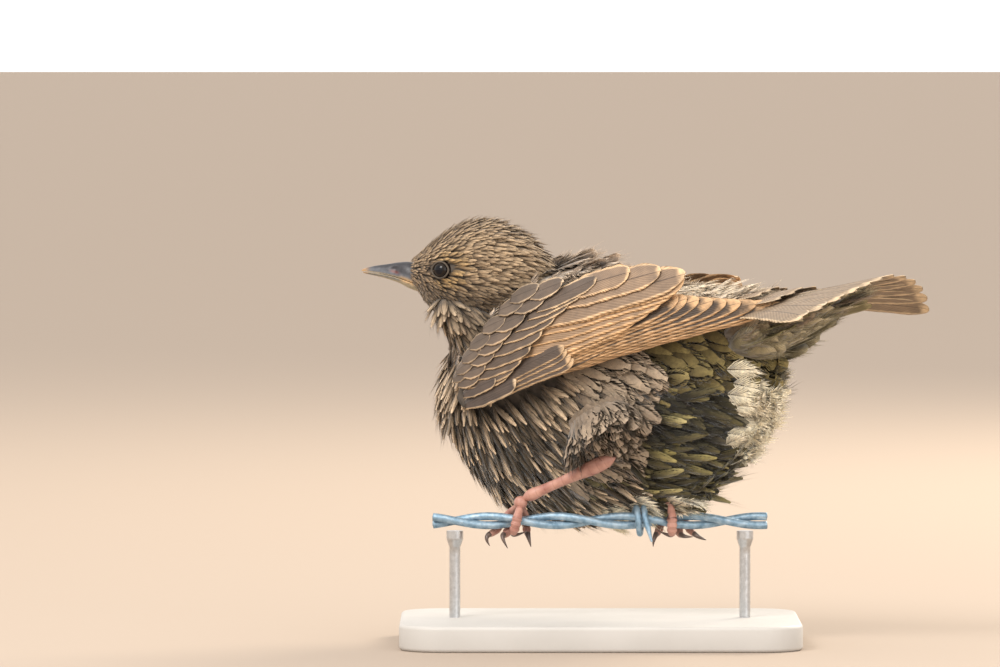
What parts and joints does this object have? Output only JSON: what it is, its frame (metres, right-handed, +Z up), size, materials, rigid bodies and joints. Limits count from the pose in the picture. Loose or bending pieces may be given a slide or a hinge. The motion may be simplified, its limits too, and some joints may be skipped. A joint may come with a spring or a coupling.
{
  "type": "juvenile starling model on wire perch",
  "caption": "Life-size still model of a juvenile common starling with ruffled plumage, tail raised, gripping a short twisted wire perch on a plain flat stand.",
  "frame": {"origin": "middle of the stand base's underside, straight below the middle of the perch wire", "axes": "+Z up, +X along the perch wire; the bird's bill points to -X and a little to +Y, its tail to +X and -Y"},
  "size_m": [0.1763, 0.1264, 0.1311],
  "materials": {
    "plumage": "ruffled grey-brown juvenile plumage, pale buff tips",
    "wing_feathers": "dark grey-brown vanes edged with warm buff",
    "tail_feathers": "dark brown vanes edged with buff, olive below",
    "bill": "blue-grey horn, paler at the tip",
    "eye": "polished dark brown",
    "leg_skin": "scaled pinkish brown skin",
    "claws": "dark horn",
    "galvanized_wire": "galvanized, dull blue-grey",
    "stand_base": "smooth pale lacquer",
    "stand_rods": "satin"
  },
  "bodies": {
    "root": {"head": "plumage", "bill_upper": "bill", "bill_lower": "bill", "eye_left": "eye", "eye_right": "eye", "neck": "plumage", "torso": "plumage", "wing_left": "wing_feathers", "wing_right": "wing_feathers", "tail": "tail_feathers", "thigh_left": "plumage", "shank_left": "leg_skin", "foot_left": "leg_skin", "claw_left_outer": "claws", "claw_left_middle": "claws", "claw_left_inner": "claws", "claw_left_hind": "claws", "thigh_right": "plumage", "shank_right": "leg_skin", "foot_right": "leg_skin", "claw_right_outer": "claws", "claw_right_middle": "claws", "claw_right_inner": "claws", "claw_right_hind": "claws", "wire_strand_1": "galvanized_wire", "wire_strand_2": "galvanized_wire", "wire_barb_1": "galvanized_wire", "stand_base": "stand_base", "stand_rod_1": "stand_rods", "stand_rod_2": "stand_rods"}
  },
  "joints": []
}
